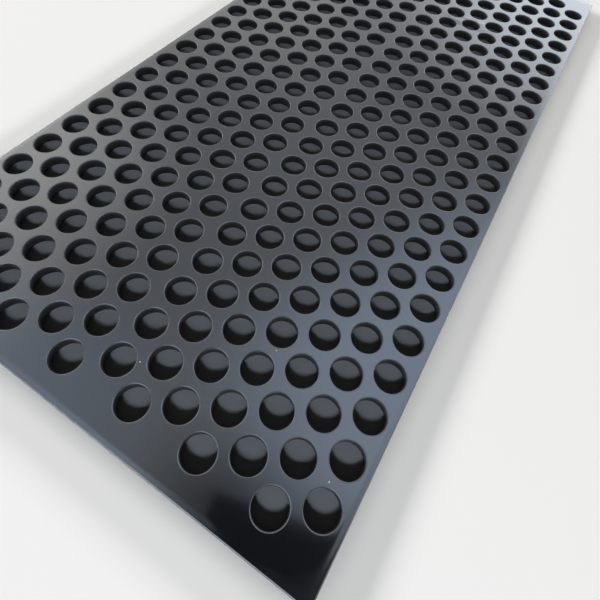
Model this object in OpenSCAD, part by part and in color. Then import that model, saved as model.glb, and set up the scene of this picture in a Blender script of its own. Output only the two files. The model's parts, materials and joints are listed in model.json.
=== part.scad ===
// Perforated plastic sheet: one flat slab with a staggered field of round through holes.
// X runs across the sheet, Y along it, and Z up from its underside.

/* [Sheet] */
// Length of the sheet, along Y
sheet_l = 500; // [200:1:1000]
// Width of the sheet, along X
sheet_w = 250; // [120:1:600]
// Thickness of the sheet
sheet_t = 6; // [3:0.5:20]
// Bevel that takes the sharpness off the sheet's edges
edge_break = 0.6; // [0.2:0.1:1]

/* [Holes] */
// Diameter of each hole
hole_d = 15; // [6:0.5:17]
// Distance between the centres of neighbouring holes
hole_pitch = 20; // [18.5:0.5:40]
// Bevel at both mouths of each hole
hole_break = 0.5; // [0.2:0.1:0.8]

/* [Layout] */
// Least distance from a long edge to the centre of a hole
side_margin = 11; // [10:0.5:40]
// Distance from the near end to the first holes, and the least distance at the far end
end_margin = 18; // [12:0.5:60]
// Extra space between the two banks that the holes are drilled in
bank_gap = 2; // [0:0.5:10]
// How far the left bank is set towards the near end
bank_shift = 1.2; // [0:0.1:2]

/* [Hidden] */
$fn = 48;
// A cutter reaches this far past the face that it cuts
overcut = 1;
// Columns run along Y, and neighbouring holes are the corners of equal-sided triangles
column_step = hole_pitch * sqrt(3) / 2;
columns = 1 + floor((sheet_w - 2 * side_margin - bank_gap) / column_step);
right_columns = floor(columns / 2);
field_w = (columns - 1) * column_step + bank_gap;

// True for the columns left of the gap between the two banks
function in_left_bank(column) = column >= right_columns;

// Every other column, counted from the right edge, starts half a pitch further in
function column_start(column) = end_margin + (column % 2 == 0 ? hole_pitch / 2 : 0);

// How many holes fit in a column
function holes_in(column) = 1 + floor((sheet_l - end_margin - column_start(column)) / hole_pitch);

// Centre of one hole, with the origin in the middle of the sheet
function hole_centre(column, row) = [
    field_w / 2 - column * column_step - (in_left_bank(column) ? bank_gap : 0),
    -sheet_l / 2 + column_start(column) + row * hole_pitch - (in_left_bank(column) ? bank_shift : 0)
];

// Section across the slab, with its four edges bevelled
module slab_section(width) {
    half = width / 2;
    polygon([
        [-half + edge_break, 0], [half - edge_break, 0],
        [half, edge_break], [half, sheet_t - edge_break],
        [half - edge_break, sheet_t], [-half + edge_break, sheet_t],
        [-half, sheet_t - edge_break], [-half, edge_break]
    ]);
}

// The slab before drilling: where its two long sections cross, all eight flat edges are bevelled
module slab() {
    intersection() {
        rotate([90, 0, 0]) linear_extrude(sheet_l, center = true) slab_section(sheet_w);
        rotate([90, 0, 90]) linear_extrude(sheet_w, center = true) slab_section(sheet_l);
    }
}

// One straight hole with a bevelled mouth at each face
module hole_cutter() {
    mouth = hole_break + overcut;
    translate([0, 0, -overcut]) cylinder(d = hole_d, h = sheet_t + 2 * overcut);
    translate([0, 0, -overcut]) cylinder(d1 = hole_d + 2 * mouth, d2 = hole_d, h = mouth);
    translate([0, 0, sheet_t - hole_break]) cylinder(d1 = hole_d, d2 = hole_d + 2 * mouth, h = mouth);
}

module perforated_sheet() {
    color([0.05, 0.05, 0.06]) difference() {
        slab();
        for (column = [0 : columns - 1], row = [0 : holes_in(column) - 1])
            translate(hole_centre(column, row)) hole_cutter();
    }
}

perforated_sheet();
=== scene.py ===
# %% [markdown]
# # A perforated black plastic sheet
#
# This lesson dresses one flat sheet of black plastic that is drilled all over with round holes.
# The measured model is loaded first and stays where it is. Every size below is read from it, or is
# one of the few sizes that a workshop drawing of the sheet would give.

import json
import math

import bpy
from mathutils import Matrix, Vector


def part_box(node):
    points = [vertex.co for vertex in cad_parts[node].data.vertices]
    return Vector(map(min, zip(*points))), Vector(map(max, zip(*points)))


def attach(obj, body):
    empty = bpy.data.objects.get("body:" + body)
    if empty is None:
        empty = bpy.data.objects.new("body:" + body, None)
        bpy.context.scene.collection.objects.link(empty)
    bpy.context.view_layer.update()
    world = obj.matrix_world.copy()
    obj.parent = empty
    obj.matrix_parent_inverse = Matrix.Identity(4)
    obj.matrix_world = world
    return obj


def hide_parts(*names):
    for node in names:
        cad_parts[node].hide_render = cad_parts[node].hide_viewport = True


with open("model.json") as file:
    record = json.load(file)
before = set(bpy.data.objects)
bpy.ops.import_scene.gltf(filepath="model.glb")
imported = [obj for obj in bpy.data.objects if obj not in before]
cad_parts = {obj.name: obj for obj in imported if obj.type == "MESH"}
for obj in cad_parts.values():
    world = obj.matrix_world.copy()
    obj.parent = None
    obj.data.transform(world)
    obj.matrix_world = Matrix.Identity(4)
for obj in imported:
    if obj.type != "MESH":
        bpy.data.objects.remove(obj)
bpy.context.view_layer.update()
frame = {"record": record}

# %% [markdown]
# ## The drawing
#
# Blender works in metres and a workshop in millimetres, so one value turns one into the other.
# The outside sizes come from the measured box and the hole size from the record's own list of holes.
# The rest is the drilling pattern: columns of holes along the sheet, every other column set half a
# step further in, in two banks with a slightly wider strip between them.

# %% Sizes of the sheet and its drilling pattern
MM = 0.001

sheet_low, sheet_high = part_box("perforated_sheet")
sheet_width = sheet_high[0] - sheet_low[0]
sheet_length = sheet_high[1] - sheet_low[1]
thickness = sheet_high[2] - sheet_low[2]
hole_radius = next(m["dims"]["r_mm"] for m in frame["record"]["mounts"] if m["kind"] == "bore") * MM

hole_pitch = 20 * MM
side_margin = 11 * MM
end_margin = 18 * MM
bank_gap = 2 * MM
bank_shift = 1.2 * MM
edge_break = 0.6 * MM
hole_break = 0.5 * MM

column_step = hole_pitch * math.sqrt(3) / 2
column_count = 1 + math.floor((sheet_width - 2 * side_margin - bank_gap) / column_step)
right_columns = column_count // 2
field_width = (column_count - 1) * column_step + bank_gap


def column_layout(column):
    """First hole's place in a column counted from the right edge, and how many holes it has."""
    in_left_bank = column >= right_columns
    start = end_margin + (hole_pitch / 2 if column % 2 == 0 else 0)
    count = 1 + math.floor((sheet_length - end_margin - start) / hole_pitch)
    x = field_width / 2 - column * column_step - (bank_gap if in_left_bank else 0)
    y = -sheet_length / 2 + start - (bank_shift if in_left_bank else 0)
    return (x, y), count


hole_count = sum(column_layout(column)[1] for column in range(column_count))
print(f"sheet {sheet_width / MM:.0f} x {sheet_length / MM:.0f} x {thickness / MM:.1f} mm, {hole_count} holes")

# %% [markdown]
# ## The camera
#
# The photograph was taken from close above the near right corner with a wide lens, so the near holes
# are large and round and the far ones small and flat. The place, the three turns and the lens were
# worked out from the rows of holes. The small upward shift of the lens stands for the way the picture
# was trimmed.

# %% Put the camera above the near right corner
top = sheet_high[2]
camera_data = bpy.data.cameras.new("camera")
camera = bpy.data.objects.new("camera", camera_data)
bpy.context.collection.objects.link(camera)
camera.location = (90.73 * MM, -230.71 * MM, top + 183.78 * MM)
camera.rotation_euler = [math.radians(turn) for turn in (31.127, -5.095, 32.217)]
camera_data.sensor_width = 36
camera_data.lens = 24.616
camera_data.shift_x = -0.005
camera_data.shift_y = -0.0868
camera_data.clip_start = 0.01
bpy.context.scene.camera = camera
print("camera at", tuple(round(c, 4) for c in camera.location), "lens", camera_data.lens, "mm")

# %% [markdown]
# ## The blank
#
# The sheet starts as a plain sawn blank. A cube is added, brought to size, and its sharp edges are
# rounded a little with Bevel in edit mode, because every cut plastic edge is scraped or it would
# scratch the hand. A few segments are enough for the edge to catch a thin line of light.


# %% Saw the blank and break its edges
def only(piece):
    """Select one object and make it the active one."""
    bpy.ops.object.select_all(action="DESELECT")
    piece.select_set(True)
    bpy.context.view_layer.objects.active = piece


EDGE_SEGMENTS = 3

bpy.ops.object.select_all(action="DESELECT")
bpy.ops.mesh.primitive_cube_add(size=1, location=(0, 0, thickness / 2))
sheet = bpy.context.active_object
sheet.name = sheet.data.name = "drilled_sheet"
sheet.scale = (sheet_width, sheet_length, thickness)
bpy.ops.object.transform_apply(location=True, rotation=False, scale=True)
bpy.ops.object.mode_set(mode="EDIT")
bpy.ops.mesh.select_all(action="SELECT")
bpy.ops.mesh.bevel(offset=edge_break, segments=EDGE_SEGMENTS, affect="EDGES")
bpy.ops.object.mode_set(mode="OBJECT")
print("blank has", len(sheet.data.polygons), "faces")

# %% [markdown]
# ## The drill
#
# A hole in the real sheet is cut by a tool that also breaks the sharp rim. So the cutter here is one
# turned shape: a straight shank with a flared collar at each face. It is made by adding a circle and
# extruding it upwards ring by ring, widening or narrowing it with Resize after every step. Cutting
# with the collars in place gives clean round lips, where a bevel after the cut would have to find its
# way along the long thin faces that a boolean leaves.

# %% Turn one cutter
HOLE_SIDES = 40
LIP = 1 - math.cos(math.radians(45))
OVERSHOOT = 2

# radius and height of each ring, from below the sheet to above it
lip_out, lip_in = hole_break * (1 - LIP) * OVERSHOOT, hole_break * LIP
lower_rings = [
    (hole_radius + hole_break + lip_out, -hole_break * LIP * OVERSHOOT),
    (hole_radius + lip_in, lip_in),
    (hole_radius, hole_break),
]
rings = lower_rings + [(radius, thickness - height) for radius, height in reversed(lower_rings)]

bpy.ops.object.select_all(action="DESELECT")
first_radius, first_height = rings[0]
bpy.ops.mesh.primitive_circle_add(
    vertices=HOLE_SIDES, radius=first_radius, fill_type="NGON", location=(0, 0, first_height)
)
cutter = bpy.context.active_object
bpy.ops.object.transform_apply(location=True, rotation=False, scale=False)
bpy.ops.object.mode_set(mode="EDIT")
bpy.ops.mesh.select_all(action="SELECT")
for (radius, height), (next_radius, next_height) in zip(rings, rings[1:]):
    bpy.ops.mesh.extrude_region_move(TRANSFORM_OT_translate={"value": (0, 0, next_height - height)})
    widen = next_radius / radius
    bpy.ops.transform.resize(value=(widen, widen, 1), center_override=(0, 0, next_height))
bpy.ops.mesh.select_all(action="SELECT")
bpy.ops.mesh.normals_make_consistent(inside=False)
bpy.ops.object.mode_set(mode="OBJECT")
print("cutter has", len(cutter.data.polygons), "faces and", len(rings), "rings")

# %% [markdown]
# ## Drilling
#
# Each column is the same cutter repeated by an Array modifier at the pitch of the holes. The columns
# are joined into one object, so that one Boolean cuts all the holes at once. The blank then stands
# for the measured sheet: it has the same outline and the same holes, only rounder.

# %% Drill all the holes
columns = []
for column in range(column_count):
    (x, y), count = column_layout(column)
    only(cutter)
    bpy.ops.object.duplicate()
    one_column = bpy.context.active_object
    one_column.location = (x, y, 0)
    bpy.ops.object.transform_apply(location=True, rotation=False, scale=False)
    array = one_column.modifiers.new("row", "ARRAY")
    array.count = count
    array.use_relative_offset = False
    array.use_constant_offset = True
    array.constant_offset_displace = (0, hole_pitch, 0)
    bpy.ops.object.modifier_apply(modifier=array.name)
    columns.append(one_column)

bpy.ops.object.select_all(action="DESELECT")
for one_column in columns:
    one_column.select_set(True)
bpy.context.view_layer.objects.active = columns[0]
bpy.ops.object.join()
all_cutters = columns[0]

only(sheet)
drill = sheet.modifiers.new("drill", "BOOLEAN")
drill.operation = "DIFFERENCE"
drill.solver = "MANIFOLD"
drill.object = all_cutters
bpy.ops.object.modifier_apply(modifier=drill.name)
bpy.data.objects.remove(all_cutters)
bpy.data.objects.remove(cutter)

SHARP_ABOVE = math.radians(12)
only(sheet)
bpy.ops.object.shade_smooth_by_angle(angle=SHARP_ABOVE)
triangles = sum(len(face.vertices) - 2 for face in sheet.data.polygons)
print("drilled sheet has", len(sheet.data.polygons), "faces,", triangles, "triangles")

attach(sheet, "root")
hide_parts("perforated_sheet")


# %% [markdown]
# ## Writing shader sums
#
# Node trees are easier to read as sums. A Wire holds one socket of a material, and plus, minus and
# times on it add Math nodes. Its make method adds any node: the settings first, then a value or
# another Wire for each socket. Its between method adds a soft step.


# %% A wire that can be added and multiplied
class Wire:
    def __init__(self, tree, socket=None):
        self.tree = tree
        self.socket = socket

    def make(self, kind, settings=None, sockets=None, output=0):
        node = self.tree.nodes.new(kind)
        for name, value in (settings or {}).items():
            setattr(node, name, value)
        for name, value in (sockets or {}).items():
            if isinstance(value, Wire):
                self.tree.links.new(value.socket, node.inputs[name])
            else:
                node.inputs[name].default_value = value
        return Wire(self.tree, node.outputs[output])

    def maths(self, operation, first, second):
        return self.make("ShaderNodeMath", {"operation": operation}, {0: first, 1: second})

    def __add__(self, other):
        return self.maths("ADD", self, other)

    __radd__ = __add__

    def __mul__(self, other):
        return self.maths("MULTIPLY", self, other)

    __rmul__ = __mul__

    def __sub__(self, other):
        return self.maths("SUBTRACT", self, other)

    def __rsub__(self, other):
        return self.maths("SUBTRACT", other, self)

    def between(self, low, high):
        """0 below low and 1 above high, with a soft step."""
        settings = {"interpolation_type": "SMOOTHSTEP", "clamp": True}
        return self.make("ShaderNodeMapRange", settings, {"Value": self, "From Min": low, "From Max": high})


def new_material(name):
    """A material with its shader, and a wire to make the other nodes from."""
    material = bpy.data.materials.new(name)
    material.use_nodes = True
    tree = material.node_tree
    return material, tree.nodes["Principled BSDF"], Wire(tree)


print("wires are ready")

# %% [markdown]
# ## Black plastic
#
# The sheet is solid black plastic with a high gloss, so nearly all that the eye sees is mirrored
# light. The colour itself is almost black. To finish faces, lips and walls differently, the material
# first works out how far each point lies from the outer edges and from the nearer face.

# %% Find the faces, lips and walls
plastic, shader, wire = new_material("black_plastic")
links = plastic.node_tree.links
place = wire.make("ShaderNodeTexCoord", output="Object")
x, y, z = (wire.make("ShaderNodeSeparateXYZ", sockets={0: place}, output=axis) for axis in "XYZ")


def smaller(first, second):
    return wire.maths("MINIMUM", first, second)


def noise(scale, detail=2, stretch=(1, 1, 1)):
    """Cloudy values from 0 to 1, with a number of clouds to the metre."""
    spread = wire.make("ShaderNodeVectorMath", {"operation": "MULTIPLY"}, {0: place, 1: stretch})
    return wire.make("ShaderNodeTexNoise", sockets={"Vector": spread, "Scale": scale, "Detail": detail})


to_side = sheet_width / 2 - wire.maths("ABSOLUTE", x, 0)
to_end = sheet_length / 2 - wire.maths("ABSOLUTE", y, 0)
to_edge = smaller(to_side, to_end)
below_face = smaller(z, top - z)

FACE_SKIN = (0.02 * MM, 0.12 * MM)
WALL_START = 0.7
off_face = below_face.between(*FACE_SKIN)
wall = below_face.between(WALL_START * hole_break, hole_break)
lip = off_face - wall
print("masks for the faces, lips and walls")

# %% [markdown]
# ## The gloss
#
# A rolled sheet is never quite flat: its face has long shallow waves, and it falls away a little over
# the last few millimetres before a cut edge. A small patch towards the far right end is rippled like
# a smear, and the drill left faint rings in the walls. All of these are far too shallow to model, so
# they are drawn as a height and turned into a tilt with a Bump node.

# %% Shape the gloss
WAVE_DEPTH, ROLL_DEPTH, GRAIN_DEPTH = 0.03 * MM, 0.2 * MM, 0.002 * MM
WAVE_CLOUDS, ROLL_CLOUDS, GRAIN_CLOUDS = 22, 26, 1400
ROLL_LEAST, ROLL_SPREAD = 1.6 * MM, 3.4 * MM
roll_width = ROLL_LEAST + ROLL_SPREAD * noise(ROLL_CLOUDS)
face_roll = to_edge.between(0, roll_width)

SMEAR_MIDDLE, SMEAR_REACH = (42 * MM, 142 * MM, top), (34 * MM, 12 * MM, 5 * MM)
SMEAR_DEPTH, SMEAR_CORE = 0.35 * MM, 0.3
SMEAR_CLOUDS, SMEAR_STRETCH = 190, (0.7, 1.3, 1)
from_smear = wire.make("ShaderNodeVectorMath", {"operation": "SUBTRACT"}, {0: place, 1: SMEAR_MIDDLE})
across_smear = wire.make("ShaderNodeVectorMath", {"operation": "DIVIDE"}, {0: from_smear, 1: SMEAR_REACH})
smear_edge = wire.make("ShaderNodeVectorMath", {"operation": "LENGTH"}, {0: across_smear}, "Value")
smear = 1 - smear_edge.between(SMEAR_CORE, 1)

RING_DEPTH, RING_CLOUDS, RING_STRETCH = 0.012 * MM, 300, (0.12, 0.12, 9)
relief = ROLL_DEPTH * face_roll + WAVE_DEPTH * noise(WAVE_CLOUDS, 1) + GRAIN_DEPTH * noise(GRAIN_CLOUDS)
relief = relief + SMEAR_DEPTH * smear * noise(SMEAR_CLOUDS, 2, SMEAR_STRETCH)
relief = relief + wall * (RING_DEPTH * noise(RING_CLOUDS, 1, RING_STRETCH))
bump = wire.make("ShaderNodeBump", sockets={"Height": relief, "Strength": 1, "Distance": 1})
links.new(bump.socket, shader.inputs["Normal"])

FACE_ROUGHNESS, LIP_ROUGHNESS, WALL_ROUGHNESS = 0.11, 0.4, 0.26
CLOUDINESS, GLOSS_CLOUDS = 0.05, 14
clouds = CLOUDINESS * (noise(GLOSS_CLOUDS, 3) - 0.5)
roughness = FACE_ROUGHNESS + clouds + LIP_ROUGHNESS * lip + WALL_ROUGHNESS * wall
links.new(roughness.socket, shader.inputs["Roughness"])
shader.inputs["IOR"].default_value = 1.5
print("gloss has", len(plastic.node_tree.nodes), "nodes")

# %% [markdown]
# ## Scraped edges, painted light and dust
#
# Where the plastic was cut or scraped its skin is broken, and the broken skin scatters light. A thin
# pale line runs along every edge and around every hole. It is partly this scraping and partly a
# painted highlight of the light that the edges catch. The lips of the holes are scraped less than the
# outer edges. A band of wall just inside each mouth is painted lighter, as painted light where the
# lamps reach into the mouth. Three specks lie on the top face, at places read from the photograph:
# the first two are dust and the last is a painted glint. The rest of the face is clean.

# %% Colour the plastic
# the first two specks are dust and the last one is a painted glint
# place across and along the sheet, and radius, of each speck in millimetres
SPECKS = ((17.9, -217.8, 0.34), (64.2, -180.7, 0.26), (110.9, -212.6, 0.3))
SPECK_CORE = 0.6
dust_and_glint = 0
for speck_x, speck_y, speck_radius in SPECKS:
    middle = (speck_x * MM, speck_y * MM, top)
    spot = wire.make("ShaderNodeVectorMath", {"operation": "DISTANCE"}, {0: place, 1: middle}, "Value")
    dust_and_glint = dust_and_glint + (1 - spot.between(SPECK_CORE * speck_radius * MM, speck_radius * MM))

# the pale edge colour is scraped plastic and also a painted highlight on edges and lips
BLACK, SCRAPED_AND_HIGHLIGHT, DUST_AND_GLINT = (0.005, 0.0053, 0.006), (0.15, 0.153, 0.158), (0.62, 0.62, 0.6)
# the lighter wall colour is painted light, for the lamps reaching just inside each mouth
WALL_BLACK, PAINTED_LIGHT_WALL = (0.007, 0.007, 0.008), (0.018, 0.018, 0.019)


def tint(under, over, share):
    """One colour laid over another by a share from 0 to 1."""
    settings = {"data_type": "RGBA", "blend_type": "MIX"}
    colours = [c if isinstance(c, Wire) else (*c, 1) for c in (under, over)]
    return wire.make("ShaderNodeMix", settings, {0: share, 6: colours[0], 7: colours[1]}, 2)


# pale lines along the outer edges and the hole lips: scraping and painted highlight together
EDGE_LINE, EDGE_ZONE, PAINTED_LIGHT_BAND = (0.35 * MM, 0.7 * MM), (1 * MM, 2 * MM), (1.3 * MM, 2.7 * MM)
LIP_SPARED = 0.65
SCRAPE_HIGHLIGHT_LEAST, SCRAPE_HIGHLIGHT_SPREAD, SCRAPE_HIGHLIGHT_CLOUDS = 0.34, 0.8, 180
inside = to_edge.between(*EDGE_ZONE)
outer_scrape_highlight_line = (1 - lip) * (1 - to_edge.between(*EDGE_LINE)) * (1 - wall)
scrape_and_highlight = lip * (1 - LIP_SPARED * inside) + outer_scrape_highlight_line
patchy_scrape_and_highlight = scrape_and_highlight * (SCRAPE_HIGHLIGHT_LEAST + SCRAPE_HIGHLIGHT_SPREAD * noise(SCRAPE_HIGHLIGHT_CLOUDS))
# painted light: the wall is lighter in a band just inside each mouth
painted_light_share = (1 - below_face.between(*PAINTED_LIGHT_BAND)) * inside
plain_colour = tint(BLACK, tint(WALL_BLACK, PAINTED_LIGHT_WALL, painted_light_share), wall)
# the speck colour is dust on two specks and a painted glint on the last one
colour = tint(tint(plain_colour, SCRAPED_AND_HIGHLIGHT, patchy_scrape_and_highlight), DUST_AND_GLINT, dust_and_glint)
links.new(colour.socket, shader.inputs["Base Color"])
sheet.data.materials.clear()
sheet.data.materials.append(plastic)
print("plastic has", len(plastic.node_tree.nodes), "nodes")

# %% [markdown]
# ## The floor
#
# The sheet lies on a pale, plain floor. It is dull, so it shows the sheet's soft shadow and nothing
# else. Far from the sheet it fades out, so that it meets the white background without a line.

# %% Lay the floor
FLOOR_SIZE = 12
FADE_START, FADE_END = 0.9, 2.6
bpy.ops.object.select_all(action="DESELECT")
bpy.ops.mesh.primitive_plane_add(size=FLOOR_SIZE, location=(0, 0, 0))
floor = bpy.context.active_object
floor.name = "floor"
floor_finish, floor_shader, floor_wire = new_material("pale_floor")
floor_shader.inputs["Base Color"].default_value = (0.85, 0.84, 0.82, 1)
floor_shader.inputs["Roughness"].default_value = 0.8
floor_shader.inputs["Specular IOR Level"].default_value = 0
floor_spot = floor_wire.make("ShaderNodeTexCoord", output="Object")
from_middle = floor_wire.make("ShaderNodeVectorMath", {"operation": "LENGTH"}, {0: floor_spot}, "Value")
floor_cover = 1 - from_middle.between(FADE_START, FADE_END)
floor_finish.node_tree.links.new(floor_cover.socket, floor_shader.inputs["Alpha"])
floor.data.materials.append(floor_finish)
print("floor of", FLOOR_SIZE, "metres")


# %% [markdown]
# ## Cards for the gloss
#
# Most of the picture's character is in what the glossy face mirrors, so soft cards hang where the
# face mirrors them: a broad ceiling, a bluer card almost overhead on the right, one on the left and
# one further round, one beyond the far end with a low one at the horizon, a thin blue one over the
# near left and one over the near end. Each is a plane that glows and fades out towards its rim,
# because a hard edge would be mirrored as a line. A cover below 1 lets what is behind shine through.
# The cards serve the gloss alone: light that has met a dull surface no longer sees them, so the floor
# inside the holes stays in shade.


# %% Hang the cards
def first_hand(wire):
    """1 where gloss is seen directly, 0 where light has already met a dull surface."""
    dull_bounces = wire.make("ShaderNodeLightPath", output="Diffuse Depth")
    return 1 - wire.maths("MINIMUM", dull_bounces, 1)


FULL_SHARE = 0.2


def card(name, place, aim, size, glow, colour, cover=1):
    """A plane that glows on its front, fades towards its rim, and is seen only in gloss."""
    bpy.ops.object.select_all(action="DESELECT")
    bpy.ops.mesh.primitive_plane_add(size=1)
    plane = bpy.context.active_object
    plane.name = name
    plane.scale = (size[0], size[1], 1)
    bpy.ops.object.transform_apply(location=False, rotation=False, scale=True)
    plane.location = place
    plane.rotation_euler = (Vector(aim) - Vector(place)).to_track_quat("Z", "Y").to_euler()

    material, shader, wire = new_material(name)
    spot = wire.make("ShaderNodeTexCoord", output="Object")
    fade = cover * (1 - wire.make("ShaderNodeNewGeometry", output="Backfacing")) * first_hand(wire)
    for axis, reach in (("X", size[0] / 2), ("Y", size[1] / 2)):
        along = wire.make("ShaderNodeSeparateXYZ", sockets={0: spot}, output=axis)
        off_centre = wire.maths("ABSOLUTE", along, 0)
        fade = fade * (1 - off_centre.between(FULL_SHARE * reach, reach))
    material.node_tree.links.new(fade.socket, shader.inputs["Alpha"])
    shader.inputs["Base Color"].default_value = (0, 0, 0, 1)
    shader.inputs["Specular IOR Level"].default_value = 0
    shader.inputs["Emission Color"].default_value = (*colour, 1)
    shader.inputs["Emission Strength"].default_value = glow
    plane.data.materials.append(material)
    plane.visible_camera = plane.visible_diffuse = plane.visible_shadow = False
    print(name, "of", size, "metres")


SKY_BLUE, PALE_BLUE, DEEP_BLUE = (0.73, 0.88, 1.12), (0.82, 0.93, 1.1), (0.53, 0.71, 1.0)
COOL, NEUTRAL = (0.91, 0.98, 1.08), (1.0, 1.0, 1.0)
lens_height = camera.location.z
card("ceiling_card", (0.0, 0.5, 1.6), (0.0, 0.3, 0.0), (5.0, 5.0), 1.85, COOL)
card("overhead_card", (0.27, 0.16, 0.7), (0.12, -0.05, 0.0), (0.9, 1.3), 5.0, SKY_BLUE)
card("left_card", (-1.5, -0.02, 0.95), (-0.05, -0.1, 0.0), (2.3, 1.9), 4.8, NEUTRAL)
card("far_left_card", (-1.3, 1.5, 0.92), (0.0, 0.0, 0.0), (2.4, 1.6), 2.15, NEUTRAL)
card("far_card", (0.45, 1.5, 0.55), (0.05, 0.1, 0.0), (2.6, 1.12), 4.3, COOL)
card("blue_card", (-0.75, -0.45, 0.95), (-0.75, -0.45, 0.0), (1.5, 1.0), 8.3, DEEP_BLUE, 0.21)
card("shade_card", (0.1, -0.28, lens_height), (0.1, -0.28, 0.0), (0.24, 0.2), 0, NEUTRAL, 0.75)
card("horizon_card", (-0.7, 2.4, 0.2), (0.0, 0.0, 0.2), (5.0, 0.5), 5.0, NEUTRAL)
card("near_card", (-0.1, -0.98, 1.0), (-0.1, -0.98, 0.0), (2.4, 1.3), 7.0, SKY_BLUE)

# %% [markdown]
# ## The dark patch
#
# The near right corner mirrors the camera itself, which is dark. A small dark card beside the lens
# gives the patch its edge, and the shade card, which doesn't glow, darkens the face softly around it.

# %% Put a dark card beside the lens
LENS_CARD_PLACE = (0.131, -0.27, lens_height)
LENS_CARD_SIZE = (0.125, 0.085)
LENS_CARD_TURN = math.radians(16)
bpy.ops.object.select_all(action="DESELECT")
bpy.ops.mesh.primitive_plane_add(size=1, location=LENS_CARD_PLACE, rotation=(0, 0, LENS_CARD_TURN))
lens_card = bpy.context.active_object
lens_card.name = "lens_card"
lens_card.scale = (*LENS_CARD_SIZE, 1)
bpy.ops.object.transform_apply(location=False, rotation=False, scale=True)
lens_finish, lens_shader, _ = new_material("lens_card")
lens_shader.inputs["Base Color"].default_value = (0.01, 0.01, 0.01, 1)
lens_shader.inputs["Specular IOR Level"].default_value = 0
lens_card.data.materials.append(lens_finish)
lens_card.visible_camera = lens_card.visible_diffuse = lens_card.visible_shadow = False
print("lens card of", LENS_CARD_SIZE, "metres")


# %% [markdown]
# ## Lamps
#
# The floor is lit by four low, broad lamps around the sheet, which leave the floor inside the holes in
# shade. A fifth lamp, small and close, stands above the near end and lights a crescent of floor in each
# hole, more in the near holes than in the far ones. All five are hidden from gloss, because the face
# would mirror them as bright bars.


# %% Set the lamps around the sheet
def soft_lamp(name, direction, distance, elevation, size, power, colour=NEUTRAL):
    """A soft lamp that looks at the sheet's middle, from a direction and a height in degrees."""
    lamp = bpy.data.lights.new(name, "AREA")
    lamp.shape = "RECTANGLE"
    lamp.size, lamp.size_y = size
    lamp.energy = power
    lamp.color = colour
    holder = bpy.data.objects.new(name, lamp)
    rise = math.radians(elevation)
    flat = Vector(direction).normalized() * math.cos(rise) * distance
    holder.location = (flat.x, flat.y, math.sin(rise) * distance)
    holder.rotation_euler = (-holder.location).to_track_quat("-Z", "Y").to_euler()
    holder.visible_camera = holder.visible_glossy = False
    bpy.context.collection.objects.link(holder)
    print(name, "of", power, "watts")


LOW_DISTANCE, LOW_ELEVATION, LOW_SIZE = 3.3, 16.5, (2.6, 0.5)
soft_lamp("left_lamp", (-1, 0), LOW_DISTANCE, LOW_ELEVATION, LOW_SIZE, 162)
soft_lamp("right_lamp", (1, 0), LOW_DISTANCE, LOW_ELEVATION, LOW_SIZE, 84)
soft_lamp("far_lamp", (0, 1), LOW_DISTANCE, LOW_ELEVATION, LOW_SIZE, 100)
soft_lamp("near_lamp", (0, -1), LOW_DISTANCE, LOW_ELEVATION, LOW_SIZE, 52)

CLOSE_DISTANCE, CLOSE_ELEVATION, CLOSE_SIZE = 1.1, 31, (0.13, 0.13)
soft_lamp("shoulder_lamp", (0.35, -1), CLOSE_DISTANCE, CLOSE_ELEVATION, CLOSE_SIZE, 1.45, PALE_BLUE)

# %% [markdown]
# ## The room
#
# The room is white to the camera and in the gloss, but gives next to no light of its own, so that the
# shadows and the inside of the holes are left to the lamps.

# %% Light the room
ROOM_LIGHT = 0.01
world = bpy.data.worlds.new("studio")
bpy.context.scene.world = world
world.use_nodes = True
sky = Wire(world.node_tree)
background = world.node_tree.nodes["Background"]
seen = sky.make("ShaderNodeLightPath", output="Is Camera Ray")
mirrored = sky.make("ShaderNodeLightPath", output="Is Glossy Ray") * first_hand(sky)
strength = ROOM_LIGHT + (1 - ROOM_LIGHT) * sky.maths("MAXIMUM", seen, mirrored)
world.node_tree.links.new(strength.socket, background.inputs["Strength"])
background.inputs["Color"].default_value = (0.97, 0.98, 1.0, 1)
bpy.context.scene.view_settings.view_transform = "Standard"
print("room light", ROOM_LIGHT)
